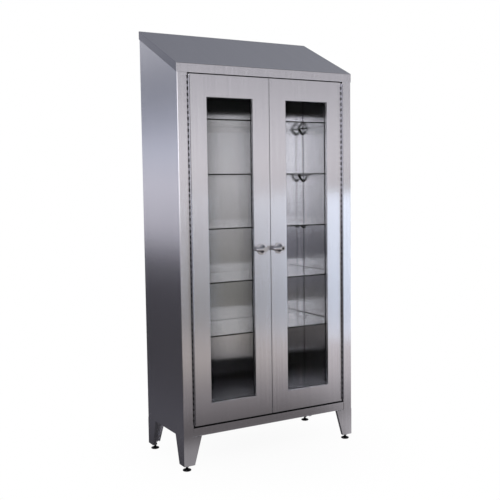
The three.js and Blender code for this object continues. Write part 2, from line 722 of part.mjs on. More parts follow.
// Doors with their hinges, glazing, handles and latch rods
for (const side of SIDES) {
  const sign = side === 'left' ? -1 : 1;
  const hinge = new THREE.Group();
  hinge.position.set(sign * HINGE_X, FRONT - PIN_PROUD, DOOR_MIDDLE - HINGE_LENGTH / 2);
  add(`${side}_hinge_frame_leaf`, onSide(side, hingeLeaf(0)), STAINLESS, hinge);
  add(`${side}_hinge_door_leaf`, onSide(side, mirror(hingeLeaf(1), 'x')), STAINLESS, hinge);
  add(`${side}_hinge_pin`, hingePin(), STAINLESS, hinge);

  const door = new THREE.Group();
  add(`${side}_door_pan`, doorPan(side), STAINLESS, door);
  add(`${side}_door_gasket`, onSide(side, leftGasket()), RUBBER, door);
  add(`${side}_door_glass`, onSide(side, leftPane()), GLASS, door);

  const latch = new THREE.Group();
  latch.position.set(sign * LEVER_SETBACK, FRONT, DOOR_MIDDLE);
  add(`${side}_lever_handle`, leverHandle(side === 'right'), CHROME, latch);
  add(`${side}_upper_rod`, upperRod(), STAINLESS, latch);
  add(`${side}_lower_rod`, upperRod().rotateY(Math.PI), STAINLESS, latch);
  if (side === 'right') add('lock_plug', lockPlug(), ZINC, latch);
  cabinet.add(hinge, door, latch);
}

// The levers stand out in front, so half their reach brings the whole depth's middle to the origin
cabinet.position.y = LEVER_REACH / 2;

export default cabinet;
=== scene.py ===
# Glass door medical cabinet in brushed stainless sheet, dressed for a studio photograph.
# Everything is in metres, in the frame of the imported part: +Z up, doors facing -Y.

import math

import bmesh
import bpy
from mathutils import Matrix, Vector


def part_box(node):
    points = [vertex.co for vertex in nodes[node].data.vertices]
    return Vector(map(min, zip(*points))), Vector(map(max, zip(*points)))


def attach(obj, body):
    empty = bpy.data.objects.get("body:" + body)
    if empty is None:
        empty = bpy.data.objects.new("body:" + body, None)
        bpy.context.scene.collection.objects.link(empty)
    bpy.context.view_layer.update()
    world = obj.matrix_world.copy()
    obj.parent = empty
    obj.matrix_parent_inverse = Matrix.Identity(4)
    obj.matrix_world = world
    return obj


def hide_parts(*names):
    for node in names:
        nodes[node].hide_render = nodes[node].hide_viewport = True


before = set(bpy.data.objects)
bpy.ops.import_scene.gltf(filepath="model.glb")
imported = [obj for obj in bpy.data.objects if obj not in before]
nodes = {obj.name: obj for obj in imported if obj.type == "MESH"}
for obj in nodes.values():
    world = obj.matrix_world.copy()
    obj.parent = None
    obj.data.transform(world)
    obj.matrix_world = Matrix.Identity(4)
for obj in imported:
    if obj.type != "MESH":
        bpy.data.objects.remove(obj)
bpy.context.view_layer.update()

# Camera
# A normal lens stands a little above the middle of the doors and well to the left of them.
# Its place, length and slight roll come from fitting the corners of the casing to the picture.
CAMERA_PLACE = Vector((-1.8969, -3.3221, 1.2637))
CAMERA_AZIMUTH = math.radians(-29.680)
CAMERA_ELEVATION = math.radians(4.712)
CAMERA_ROLL = math.radians(-0.750)
CAMERA_LENS_MM = 57.787
SENSOR_WIDTH_MM = 36.0

camera = bpy.data.objects.new("camera", bpy.data.cameras.new("camera"))
bpy.context.scene.collection.objects.link(camera)
bpy.context.scene.camera = camera
camera.data.sensor_width = SENSOR_WIDTH_MM
camera.data.lens = CAMERA_LENS_MM
level = math.cos(CAMERA_ELEVATION)
backward = Vector((math.sin(CAMERA_AZIMUTH) * level, -math.cos(CAMERA_AZIMUTH) * level,
                   math.sin(CAMERA_ELEVATION)))
aim = backward.to_track_quat("Z", "Y").to_matrix() @ Matrix.Rotation(CAMERA_ROLL, 3, "Z")
camera.matrix_world = Matrix.LocRotScale(CAMERA_PLACE, aim, None)
bpy.context.scene.view_settings.view_transform = "Standard"

# Casing
# The roof cap, side shells, sill, floor and back are folded from 1.2 mm stainless sheet with a
# low-gloss brushed finish whose grain runs up the cabinet. They are welded to each other at the corners.
# The faces that turn away into the roof and behind the door frame carry dark painted shade.
SIDES = {"left": -1, "right": 1}
STEEL_LIGHT = "E1E0E3"
STEEL_DARK = "D0CFD3"
# Painted shade: a near-black tone for faces turned into the cabinet and roof, a grey one for the roof's side
# flanges, and one for the top of the floor pan.
SHADE_PAINT_DARK = "161618"
SHADE_PAINT_FLANGE = "8E8E94"
SHADE_PAINT_FLOOR = "64646A"

# Real brush marks are under 0.1 mm wide. They are drawn as coarse as they need to show.
STREAK_WIDTH = 0.005
STREAK_LENGTH = 0.7
GRAIN_WIDTH = 0.0012
GRAIN_LENGTH = 0.12
GRAIN_DEPTH = 0.0004
GRAIN_SHARE = 0.04
CASING_GLOSS = (0.20, 0.25)
BACK_GLOSS = (0.15, 0.20)
LINER_GLOSS = (0.15, 0.19)

# A face counts as turned along a way if its normal's dot product with it passes TURNED. So a longer
# way takes in more faces: all that turn upwards at all lie over the sill.
TURNED = 0.4
UPRIGHT = Vector((0, 0, 1))
ROOF_RISE = Vector((0, 406, 196)).normalized()
INTO_ROOF = Vector((0, 0.3, -0.954))
INTO_CABINET = Vector((0, 0.8, 0.6))
OVER_SILL = Vector((0, 0, 3.0))
TO_BACK = Vector((0, 1, 0))
TO_FRONT = Vector((0, -1, 0))
TO_LEFT = Vector((-1, 0, 0))
TO_RIGHT = Vector((1, 0, 0))
OFF_GRAIN = Vector((0.003, 0.002, 0.001))
SHEET_EDGE = 0.0004
BROKEN_FOLD = math.radians(50)
SHARP_FOLD = math.radians(35)
WELD_REACH = 0.00002


def linear(hex_colour):
    """A colour written as sRGB hex, as linear red, green, blue and alpha."""
    parts = [int(hex_colour[i:i + 2], 16) / 255 for i in (0, 2, 4)]
    return [p / 12.92 if p <= 0.04045 else ((p + 0.055) / 1.055) ** 2.4 for p in parts] + [1.0]


def add_node(tree, kind, settings=None, values=None, links=None):
    """A new node with its settings, the values on its sockets and the links into it."""
    node = tree.nodes.new(kind)
    for name, value in (settings or {}).items():
        setattr(node, name, value)
    for name, value in (values or {}).items():
        node.inputs[name].default_value = value
    for name, output in (links or {}).items():
        tree.links.new(output, node.inputs[name])
    return node


def new_material(name):
    """An empty node material, with its tree."""
    material = bpy.data.materials.new(name)
    material.use_nodes = True
    material.node_tree.nodes.clear()
    return material, material.node_tree


def brushed_stainless(name, fine_axes, grain, roughness=CASING_GLOSS, shaded_ways=(), dimmed_ways=(),
                      dim_shade=SHADE_PAINT_FLANGE):
    """Brushed stainless: streaks vary along the fine axes, and gleams spread across the grain. Faces
    turned along a shaded way carry dark painted shade, and those along a dimmed way a lighter painted shade."""
    material, tree = new_material(name)
    place = add_node(tree, "ShaderNodeTexCoord").outputs["Object"]

    def streaks(width, length):
        """Noise drawn out along the grain."""
        scale = [1 / width if axis in fine_axes else 1 / length for axis in "xyz"]
        mapping = add_node(tree, "ShaderNodeMapping", values={"Scale": scale}, links={"Vector": place})
        return add_node(tree, "ShaderNodeTexNoise", values={"Scale": 1.0, "Detail": 2.0},
                        links={"Vector": mapping.outputs["Vector"]}).outputs["Fac"]

    broad = streaks(STREAK_WIDTH, STREAK_LENGTH)
    fine = streaks(GRAIN_WIDTH, GRAIN_LENGTH)
    tone = add_node(tree, "ShaderNodeMix", {"data_type": "RGBA"},
                    {"A": linear(STEEL_DARK), "B": linear(STEEL_LIGHT)}, {"Factor": broad}).outputs["Result"]
    # Painted shade: faces turned along each way take a darker tone.
    for ways, colour in ((dimmed_ways, dim_shade), (shaded_ways, SHADE_PAINT_DARK)):
        for way in ways:
            turned = add_node(tree, "ShaderNodeVectorMath", {"operation": "DOT_PRODUCT"}, {1: way},
                              {0: add_node(tree, "ShaderNodeTexCoord").outputs["Normal"]})
            mask = add_node(tree, "ShaderNodeMath", {"operation": "GREATER_THAN"}, {1: TURNED},
                            {0: turned.outputs["Value"]})
            tone = add_node(tree, "ShaderNodeMix", {"data_type": "RGBA"}, {"B": linear(colour)},
                            {"A": tone, "Factor": mask.outputs[0]}).outputs["Result"]
    gloss = add_node(tree, "ShaderNodeMapRange", {},
                     {"From Min": 0.3, "From Max": 0.7, "To Min": roughness[0], "To Max": roughness[1]},
                     {"Value": fine})
    bump = add_node(tree, "ShaderNodeBump", {}, {"Strength": GRAIN_SHARE, "Distance": GRAIN_DEPTH},
                    {"Height": fine})
    # The grain is tipped a little, so that faces square to it have a tangent too
    across = add_node(tree, "ShaderNodeVectorMath", {"operation": "CROSS_PRODUCT"}, {1: grain + OFF_GRAIN},
                      {0: add_node(tree, "ShaderNodeNewGeometry").outputs["Normal"]})
    steel = add_node(tree, "ShaderNodeBsdfPrincipled", {}, {"Metallic": 1.0, "Anisotropic": 1.0},
                     {"Base Color": tone, "Roughness": gloss.outputs["Result"],
                      "Normal": bump.outputs["Normal"], "Tangent": across.outputs["Vector"]})
    add_node(tree, "ShaderNodeOutputMaterial", links={"Surface": steel.outputs["BSDF"]})
    return material


def finish_node(node, material, edge=SHEET_EDGE):
    """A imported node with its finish, and its edges broken so that they catch the light."""
    shown = nodes[node]
    shown.data.materials.clear()
    shown.data.materials.append(material)
    weld = shown.modifiers.new("weld", "WELD")
    weld.merge_threshold = WELD_REACH
    if edge:
        bevel = shown.modifiers.new("edge", "BEVEL")
        bevel.width = edge
        bevel.segments = 2
        bevel.limit_method = "ANGLE"
        bevel.angle_limit = BROKEN_FOLD
        bevel.harden_normals = False


grain_up = brushed_stainless("stainless_brushed_upright", "xy", UPRIGHT)
# The sill's faces turned into the cabinet, and its top and the bend under the doors, carry dark painted
# shade.
grain_up_open = brushed_stainless("stainless_brushed_open_back", "xy", UPRIGHT,
                                  shaded_ways=[INTO_CABINET, OVER_SILL])
# The roof's underside carries dark painted shade, and its side flanges a lighter painted shade.
grain_roof = brushed_stainless("stainless_brushed_along_roof", "x", ROOF_RISE, shaded_ways=[INTO_ROOF],
                               dimmed_ways=[TO_LEFT, TO_RIGHT])
grain_back = brushed_stainless("stainless_brushed_back", "xy", UPRIGHT, BACK_GLOSS)
# The floor pan's upturned faces carry painted shade.
grain_floor = brushed_stainless("stainless_brushed_floor", "x", TO_BACK, dimmed_ways=[UPRIGHT], dim_shade=SHADE_PAINT_FLOOR)
finish_node("roof_cap", grain_roof)
finish_node("sill", grain_up_open)
finish_node("back_panel", grain_back)
finish_node("floor_pan", grain_floor)
for side, inward in (("left", TO_RIGHT), ("right", TO_LEFT)):
    # The inner face of each shell carries dark painted shade.
    shell = brushed_stainless(f"stainless_brushed_{side}_shell", "xy", UPRIGHT, shaded_ways=[inward])
    finish_node(f"{side}_side_shell", shell)


def new_piece(name, shape, material, body):
    """A finished mesh as a piece of the cabinet."""
    mesh = bpy.data.meshes.new(name)
    shape.to_mesh(mesh)
    shape.free()
    mesh.materials.append(material)
    mesh.shade_smooth()
    mesh.set_sharp_from_angle(angle=SHARP_FOLD)
    piece = bpy.data.objects.new(name, mesh)
    bpy.context.scene.collection.objects.link(piece)
    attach(piece, body)
    return piece


# Side liners
# Each inner wall is a stainless sheet with two columns of narrow slots, twenty to the height of a
# shelf, into which the shelf clips hook. It stands on the floor and follows the slope of the roof.
LINER_SHEET = 0.0012
SHELF_PITCH = 0.2413
SLOT_PITCH = SHELF_PITCH / 20
SLOT_HEIGHT = 0.0060
SLOT_WIDTH = 0.0150
SLOT_MARGIN = 0.03
CLIP_TAB_RISE = 0.006


def slotted_liner(side):
    """A liner as a grid of strips, with the faces of the slots left out, and then its thickness."""
    low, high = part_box(f"{side}_liner")
    clips = [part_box(f"shelf_clip_5_{end}_{side}") for end in ("front", "rear")]
    across = [low.y]
    for clip_low, clip_high in clips:
        middle = (clip_low.y + clip_high.y) / 2
        across += [middle - SLOT_WIDTH / 2, middle + SLOT_WIDTH / 2]
    across.append(high.y)
    front_top = high.z - (high.y - low.y) * ROOF_RISE.z / ROOF_RISE.y
    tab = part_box(f"shelf_clip_5_front_{side}")[0].z + CLIP_TAB_RISE
    first = tab - math.floor((tab - low.z - SLOT_MARGIN) / SLOT_PITCH) * SLOT_PITCH
    count = math.floor((front_top - SLOT_MARGIN - first) / SLOT_PITCH)
    heights = [low.z]
    for row in range(count):
        heights += [first + row * SLOT_PITCH - SLOT_HEIGHT / 2, first + row * SLOT_PITCH + SLOT_HEIGHT / 2]
    heights.append(front_top)
    shape = bmesh.new()
    inner = low.x + LINER_SHEET / 2
    grid = [[shape.verts.new((inner, y, z)) for z in heights] for y in across]
    for column in range(len(across) - 1):
        for row in range(len(heights) - 1):
            if column % 2 == 0 or row % 2 == 0:
                shape.faces.new((grid[column][row], grid[column + 1][row],
                                 grid[column + 1][row + 1], grid[column][row + 1]))
    for line in grid:
        line[-1].co.z += (line[-1].co.y - low.y) * ROOF_RISE.z / ROOF_RISE.y
    bmesh.ops.recalc_face_normals(shape, faces=shape.faces)
    bmesh.ops.solidify(shape, geom=shape.faces, thickness=LINER_SHEET)
    shift = (low.x + high.x) / 2 - sum(v.co.x for v in shape.verts) / len(shape.verts)
    bmesh.ops.translate(shape, vec=(shift, 0, 0), verts=shape.verts)
    return shape


grain_inside = brushed_stainless("stainless_brushed_inside", "xy", UPRIGHT, LINER_GLOSS)
for side in SIDES:
    name = f"{side}_liner"
    liner = new_piece(f"{name}_slotted", slotted_liner(side), grain_inside, "cabinet")
    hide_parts(name)

# Legs and levelling feet
# Each leg is a tapered corner of folded stainless with a turned-in edge, welded under the casing.
# A black-plated levelling foot screws up into its sole and is held by a hexagonal nut.
PLATE_LIGHT = "3B3B3E"
PLATE_DARK = "1E1E20"
PLATE_CLOUD = 0.006
FOOT_RADIUS = 0.019
FOOT_RIM = 0.005
PAD_ROUND = 0.0012
PAD_DROP = 0.0010
PAD_DOME = [(0.0125, 0.0074), (0.0088, 0.0094), (0.0080, 0.0100)]
STEM_START = 0.0104
STEM_CHAMFER = 0.001
THREAD_START = 0.0108
THREAD_RADIUS = 0.005
THREAD_DEPTH = 0.0007
THREAD_PITCH = 0.0015
NUT_RADIUS = 0.0098
NUT_HEIGHT = 0.0075
NUT_CLEARANCE = 0.0003
FOOT_STEPS = 32


def mottled(name, patch, detail, tones, gloss, values):
    """A finish whose tone and gloss drift together over patches of a given size."""
    material, tree = new_material(name)
    place = add_node(tree, "ShaderNodeTexCoord").outputs["Object"]
    drift = add_node(tree, "ShaderNodeTexNoise", {}, {"Scale": 1 / patch, "Detail": detail},
                     {"Vector": place}).outputs["Fac"]
    tone = add_node(tree, "ShaderNodeMix", {"data_type": "RGBA"},
                    {"A": linear(tones[0]), "B": linear(tones[1])}, {"Factor": drift})
    rough = add_node(tree, "ShaderNodeMapRange", {}, {"To Min": gloss[0], "To Max": gloss[1]},
                     {"Value": drift})
    skin = add_node(tree, "ShaderNodeBsdfPrincipled", {}, values,
                    {"Base Color": tone.outputs["Result"], "Roughness": rough.outputs["Result"]})
    add_node(tree, "ShaderNodeOutputMaterial", links={"Surface": skin.outputs["BSDF"]})
    return material


def spun(shape, outline, place, steps):
    """An outline of radius and height, turned once round the Z axis of a place and added to a shape."""
    verts = [shape.verts.new((radius, 0, height)) for radius, height in outline]
    edges = [shape.edges.new(pair) for pair in zip(verts, verts[1:])]
    bmesh.ops.spin(shape, geom=verts + edges, axis=(0, 0, 1), cent=(0, 0, 0), angle=math.tau,
                   steps=steps, use_merge=True)
    made = [v for v in shape.verts if not v.tag]
    bmesh.ops.transform(shape, matrix=place, verts=made)
    for vert in made:
        vert.tag = True


def levelling_foot(node):
    """A domed pad, a threaded stem that rises into the leg, and the nut under the sole."""
    low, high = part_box(node)
    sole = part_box(node.replace("foot", "leg"))[0].z
    top = high.z - low.z
    under = sole - low.z - NUT_CLEARANCE
    outline = [(0.0, 0.0), (FOOT_RADIUS - PAD_ROUND, 0.0), (FOOT_RADIUS, PAD_ROUND),
               (FOOT_RADIUS, FOOT_RIM - PAD_DROP), (FOOT_RADIUS - PAD_ROUND, FOOT_RIM)]
    outline += PAD_DOME
    outline.append((THREAD_RADIUS, STEM_START))
    turns = math.floor((under - NUT_HEIGHT - THREAD_START) / THREAD_PITCH)
    for turn in range(turns):
        base = THREAD_START + turn * THREAD_PITCH
        outline += [(THREAD_RADIUS - THREAD_DEPTH, base), (THREAD_RADIUS, base + THREAD_PITCH / 2)]
    outline += [(THREAD_RADIUS, under), (THREAD_RADIUS, top - STEM_CHAMFER),
                (THREAD_RADIUS - STEM_CHAMFER, top), (0.0, top)]
    place = Matrix.Translation(((low.x + high.x) / 2, (low.y + high.y) / 2, low.z))
    shape = bmesh.new()
    spun(shape, outline, place, FOOT_STEPS)
    bmesh.ops.create_cone(
        shape, cap_ends=True, segments=6, radius1=NUT_RADIUS, radius2=NUT_RADIUS, depth=NUT_HEIGHT,
        matrix=place @ Matrix.Translation((0, 0, under - NUT_HEIGHT / 2)))
    bmesh.ops.recalc_face_normals(shape, faces=shape.faces)
    return shape


# Black zinc plate on steel is a dark, dull metal with cloudy patches a few millimetres wide
black_zinc = mottled("zinc_plated_black", PLATE_CLOUD, 4.0, (PLATE_DARK, PLATE_LIGHT), (0.25, 0.45),
                     {"Metallic": 0.8})
for end in ("front", "rear"):
    for side in SIDES:
        finish_node(f"{end}_{side}_leg", grain_up)
        node = f"{end}_{side}_foot"
        body = f"{end}_{side}_leveller"
        foot = new_piece(f"{node}_threaded", levelling_foot(node), black_zinc, body)
        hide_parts(node)

# Glass shelves and their clips
# Five shelves of clear 6 mm float glass with ground edges lie on bent spring clips of black-coated
# steel, which hook into the slots of the liners. The panes are cut a little short of the liners.
GLASS_TINT = "FBFDFC"
GLASS_IOR = 1.5
WIPE_WIDTH = 0.111
WIPE_HAZE = 0.005
SHELF_SHINE = "FFFFFF"
EDGE_LIGHT = "0C100F"
EDGE_DARK = "060908"
EDGE_GRIT = 0.003
LEVEL_WITHIN = 0.001
LYING_FLAT = 0.9
SHELF_CORNER = 0.006
CORNER_STEPS = 5
SHELF_ARRIS = 0.0005
SHELF_EASE = 0.005
CLIP_WIDTH = 0.021
CLIP_SHEET = 0.0019
CLIP_BEND = 0.002
CLIP_STANDOFF = 0.0065
TAB_WIDTH = 0.012
BEND_STEPS = 3
COAT_LIGHT = "141416"
COAT_DARK = "0A0A0B"
COAT_PEEL = 0.0015


def float_glass(name, shine):
    """Clear float glass: see-through, with wiping marks that dull it by a hair. The shine is a colour
    that weakens what it mirrors when looked at squarely."""
    material, tree = new_material(name)
    place = add_node(tree, "ShaderNodeTexCoord").outputs["Object"]
    wipes = add_node(tree, "ShaderNodeTexNoise", {}, {"Scale": 1 / WIPE_WIDTH, "Detail": 3.0},
                     {"Vector": place})
    haze = add_node(tree, "ShaderNodeMapRange", {}, {"From Min": 0.4, "From Max": 0.8, "To Max": WIPE_HAZE},
                    {"Value": wipes.outputs["Fac"]})
    glass = add_node(tree, "ShaderNodeBsdfPrincipled", {},
                     {"Base Color": linear(GLASS_TINT), "IOR": GLASS_IOR, "Transmission Weight": 1.0,
                      "Specular Tint": linear(shine)},
                     {"Roughness": haze.outputs["Result"]})
    add_node(tree, "ShaderNodeOutputMaterial", links={"Surface": glass.outputs["BSDF"]})
    return material


def shelf_plate(node):
    """A pane with rounded corners and fine arrises, whose upright faces take the second material."""
    low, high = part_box(node)
    low.x += SHELF_EASE
    high.x -= SHELF_EASE
    shape = bmesh.new()
    place = Matrix.LocRotScale((low + high) / 2, None, high - low)
    bmesh.ops.create_cube(shape, size=1.0, matrix=place)
    corners = [e for e in shape.edges if abs(e.verts[0].co.z - e.verts[1].co.z) > LEVEL_WITHIN]
    bmesh.ops.bevel(shape, geom=corners, offset=SHELF_CORNER, offset_type="OFFSET", segments=CORNER_STEPS,
                    profile=0.5, affect="EDGES", material=-1)
    rims = [e for e in shape.edges if abs(e.verts[0].co.z - e.verts[1].co.z) < LEVEL_WITHIN]
    bmesh.ops.bevel(shape, geom=rims, offset=SHELF_ARRIS, offset_type="OFFSET", segments=1, profile=0.5,
                    affect="EDGES", material=-1)
    for face in shape.faces:
        face.material_index = 0 if abs(face.normal.z) > LYING_FLAT else 1
    return shape


def bent_clip(node, side):
    """A ledge and a brace bent from one strip, with a narrower tab that hooks behind the liner."""
    low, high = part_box(node)
    inward = -SIDES[side]
    wall, tip = (low.x, high.x) if inward > 0 else (high.x, low.x)
    middle = (low.y + high.y) / 2
    tab = low.z + CLIP_TAB_RISE
    foot = (wall + inward * CLIP_STANDOFF, tab)
    ledge = [(wall + inward * CLIP_STANDOFF, high.z), (tip, high.z), foot]
    hook = [foot, (wall, tab), (wall, low.z)]
    shape = bmesh.new()
    for points, width in ((ledge, CLIP_WIDTH), (hook, TAB_WIDTH)):
        verts = [shape.verts.new((x, middle - width / 2, z)) for x, z in points]
        edges = [shape.edges.new(pair) for pair in zip(verts, verts[1:])]
        drawn = bmesh.ops.extrude_edge_only(shape, edges=edges)["geom"]
        far = [v for v in drawn if isinstance(v, bmesh.types.BMVert)]
        bmesh.ops.translate(shape, vec=(0, width, 0), verts=far)
    bends = [e for e in shape.edges if len(e.link_faces) == 2]
    bmesh.ops.bevel(shape, geom=bends, offset=CLIP_BEND, offset_type="OFFSET", segments=BEND_STEPS,
                    profile=0.5, affect="EDGES", material=-1)
    bmesh.ops.recalc_face_normals(shape, faces=shape.faces)
    bmesh.ops.solidify(shape, geom=shape.faces, thickness=CLIP_SHEET)
    bmesh.ops.recalc_face_normals(shape, faces=shape.faces)
    reach = [v.co.x for v in shape.verts]
    shift = tip - (max(reach) if inward > 0 else min(reach))
    rise = high.z - max(v.co.z for v in shape.verts)
    bmesh.ops.translate(shape, vec=(shift, 0, rise), verts=shape.verts)
    return shape


# A stoved black coat on spring steel swallows the light, with a faint orange-peel gloss
clip_coat = mottled("spring_steel_black_coated", COAT_PEEL, 2.0, (COAT_DARK, COAT_LIGHT), (0.45, 0.6),
                    {"IOR": 1.45})
shelf_glass = float_glass("float_glass_shelf", SHELF_SHINE)
# The ground edge of a pane is dark, because the light that runs along the pane is soaked up
shelf_edge = mottled("float_glass_ground_edge", EDGE_GRIT, 2.0, (EDGE_DARK, EDGE_LIGHT), (0.25, 0.4),
                     {"IOR": GLASS_IOR})
for shelf in range(1, 6):
    node = f"glass_shelf_{shelf}"
    plate = new_piece(f"{node}_plate", shelf_plate(node), shelf_glass, "cabinet")
    plate.data.materials.append(shelf_edge)
    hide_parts(node)
    for end in ("front", "rear"):
        for side in SIDES:
            node = f"shelf_clip_{shelf}_{end}_{side}"
            clip = new_piece(f"{node}_bent", bent_clip(node, side), clip_coat, "cabinet")
            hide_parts(node)

# Doors
# Each door is a folded stainless pan, brushed like the casing, with a flange round its window. A
# black rubber channel on the flange holds a pane of clear float glass. The latch rods of stainless
# bar slide inside the pan and come out at its top and bottom.
RUBBER_LIGHT = "242427"
RUBBER_DARK = "161618"
RUBBER_SKIN = 0.002
RUBBER_EDGE = 0.0004
DOOR_SHINE = "2C2C2E"
PANE_EDGE = 0.0005

# Moulded black rubber is nearly matt, with a fine uneven skin
black_rubber = mottled("rubber_moulded_black", RUBBER_SKIN, 3.0, (RUBBER_DARK, RUBBER_LIGHT), (0.55, 0.75),
                       {"IOR": 1.5})
door_glass = float_glass("float_glass_door", DOOR_SHINE)
for side in SIDES:
    finish_node(f"{side}_door_pan", grain_up)
    finish_node(f"{side}_door_gasket", black_rubber, RUBBER_EDGE)
    finish_node(f"{side}_door_glass", door_glass, PANE_EDGE)
    finish_node(f"{side}_upper_rod", grain_up, 0)
    finish_node(f"{side}_lower_rod", grain_up, 0)

# Continuous hinges
# A stainless hinge runs up the whole outer edge of each door. Half-inch knuckles curl by turns from
# the frame's leaf and from the door's leaf, round one pin that stands proud of the doors. Their front
# and sides carry painted shade, and the flank that is turned to the other leaf carries dark painted shade.
KNUCKLE_PITCH = 0.0127
KNUCKLE_GAP = 0.0005
KNUCKLE_RADIUS = 0.0045
LEAF_SHEET = 0.0015
LEAF_BACK = 0.024
NOTCH_BACK = 0.0145
ROOT_FRONT = 0.003
ROOT_FILL = 0.0013
FLANK_SHADE_SHARE = 0.455
KNUCKLE_SIDES = 14
KNUCKLE_SHADE_PAINT = {"left": "96969A", "right": "9A9AA0"}


def add_block(shape, low, high):
    """A block between two corners, added to a shape."""
    low, high = Vector(low), Vector(high)
    place = Matrix.LocRotScale((low + high) / 2, None, high - low)
    bmesh.ops.create_cube(shape, size=1.0, matrix=place)


def hinge_leaf(side, turn):
    """One leaf of a hinge, with every second knuckle, and notches where those of the other leaf turn."""
    low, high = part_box(f"{side}_hinge_frame_leaf")
    pin_low, pin_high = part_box(f"{side}_hinge_pin")
    pin = (pin_low + pin_high) / 2
    outward = SIDES[side] if turn == 0 else -SIDES[side]
    outer = pin.x + outward * KNUCKLE_RADIUS
    inner = outer - outward * LEAF_SHEET
    shape = bmesh.new()
    across = sorted((outer, inner))
    roots = sorted((outer + outward * ROOT_FILL, inner))
    add_block(shape, (across[0], pin.y + NOTCH_BACK, low.z), (across[1], pin.y + LEAF_BACK, high.z))
    count = round((high.z - low.z) / KNUCKLE_PITCH)
    for index in range(turn, count, 2):
        bottom = low.z + index * KNUCKLE_PITCH + KNUCKLE_GAP / 2
        top = bottom + KNUCKLE_PITCH - KNUCKLE_GAP
        add_block(shape, (roots[0], pin.y + ROOT_FRONT, bottom), (roots[1], pin.y + NOTCH_BACK, top))
        bmesh.ops.create_cone(
            shape, cap_ends=True, segments=KNUCKLE_SIDES, radius1=KNUCKLE_RADIUS, radius2=KNUCKLE_RADIUS,
            depth=top - bottom, matrix=Matrix.Translation((pin.x, pin.y, (bottom + top) / 2)))
    return shape


for side in SIDES:
    finish_node(f"{side}_hinge_pin", grain_up, 0)
    for turn, owner, body in ((0, "frame", "cabinet"), (1, "door", f"{side}_door")):
        name = f"{side}_hinge_{owner}_leaf"
        away = -SIDES[side] if turn == 0 else SIDES[side]
        # The knuckles' front and sides carry painted shade, and the flank towards the other leaf dark painted
        # shade.
        gap_shaded = brushed_stainless(f"stainless_gap_shaded_{side}_{owner}", "xy", UPRIGHT,
                                   shaded_ways=[Vector((away * FLANK_SHADE_SHARE, 0, 0))],
                                   dimmed_ways=[TO_FRONT, TO_LEFT, TO_RIGHT], dim_shade=KNUCKLE_SHADE_PAINT[side])
        piece = new_piece(f"{name}_fine", hinge_leaf(side, turn), gap_shaded, body)
        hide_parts(name)

# Lever handles
# Levers cast in zinc and chrome-plated stand on trumpet-shaped roses. The spindle of each runs through
# the door to a crank, whose two pins drive the latch rods. The right lever has a lock in its hub.
CHROME_LIGHT = "E2E2E6"
CHROME_DARK = "D5D5DA"
CHROME_SHADE_PAINT = "5A5B62"
CHROME_MARK = 0.008
CHROME_SHADE_START = 0.35
CHROME_SHADE_END = 0.8
UPPER_SHADE_SHARE = 0.6
LEVER_REACH = 0.034
LEVER_ROOT = 0.011
LEVER_TIP = 0.0085
ROSE_RADIUS = 0.026
ROSE_LIFT = 0.0002
ROSE_RIM = 0.0025
NECK_RADIUS = 0.012
RIM = 0.0008
PLUG_HOLE = 0.0062
PLUG_DEPTH = 0.0132
SPINDLE_RADIUS = 0.005
CRANK_RADIUS = 0.015
CRANK_BACK = 0.0062
CRANK_SHEET = 0.004
CRANK_PIN = 0.005
CRANK_PIN_OFFSET = 0.00778
PIN_SIDES = 16
PLUG_EDGE = 0.0003
HANDLE_STEPS = 40
FLARE_STEPS = 10
LEVER_STEPS = 4
TIP_STEPS = 6


def chrome_plate(name):
    """Chrome plate: a hard mirror, its gloss worn a little by handling. Its flanks turned down carry
    painted shade, and those turned up carry less of it."""
    material, tree = new_material(name)
    place = add_node(tree, "ShaderNodeTexCoord").outputs["Object"]
    marks = add_node(tree, "ShaderNodeTexNoise", {}, {"Scale": 1 / CHROME_MARK, "Detail": 3.0},
                     {"Vector": place}).outputs["Fac"]
    tone = add_node(tree, "ShaderNodeMix", {"data_type": "RGBA"},
                    {"A": linear(CHROME_DARK), "B": linear(CHROME_LIGHT)}, {"Factor": marks})
    # Painted shade on the flanks turned down, and less on those turned up.
    tilt = add_node(tree, "ShaderNodeSeparateXYZ", {}, {},
                    {0: add_node(tree, "ShaderNodeTexCoord").outputs["Normal"]}).outputs["Z"]
    below = add_node(tree, "ShaderNodeMath", {"operation": "MULTIPLY"}, {1: -1.0}, {0: tilt}).outputs[0]
    above = add_node(tree, "ShaderNodeMath", {"operation": "MULTIPLY"}, {1: UPPER_SHADE_SHARE},
                     {0: tilt}).outputs[0]
    turned = add_node(tree, "ShaderNodeMath", {"operation": "MAXIMUM"}, {}, {0: below, 1: above}).outputs[0]
    painted_shade = add_node(tree, "ShaderNodeMapRange", {}, {"From Min": CHROME_SHADE_START, "From Max": CHROME_SHADE_END},
                      {"Value": turned})
    tone = add_node(tree, "ShaderNodeMix", {"data_type": "RGBA"}, {"B": linear(CHROME_SHADE_PAINT)},
                    {"A": tone.outputs["Result"], "Factor": painted_shade.outputs["Result"]})
    gloss = add_node(tree, "ShaderNodeMapRange", {}, {"To Min": 0.05, "To Max": 0.14}, {"Value": marks})
    plate = add_node(tree, "ShaderNodeBsdfPrincipled", {}, {"Metallic": 1.0},
                     {"Base Color": tone.outputs["Result"], "Roughness": gloss.outputs["Result"]})
    add_node(tree, "ShaderNodeOutputMaterial", links={"Surface": plate.outputs["BSDF"]})
    return material


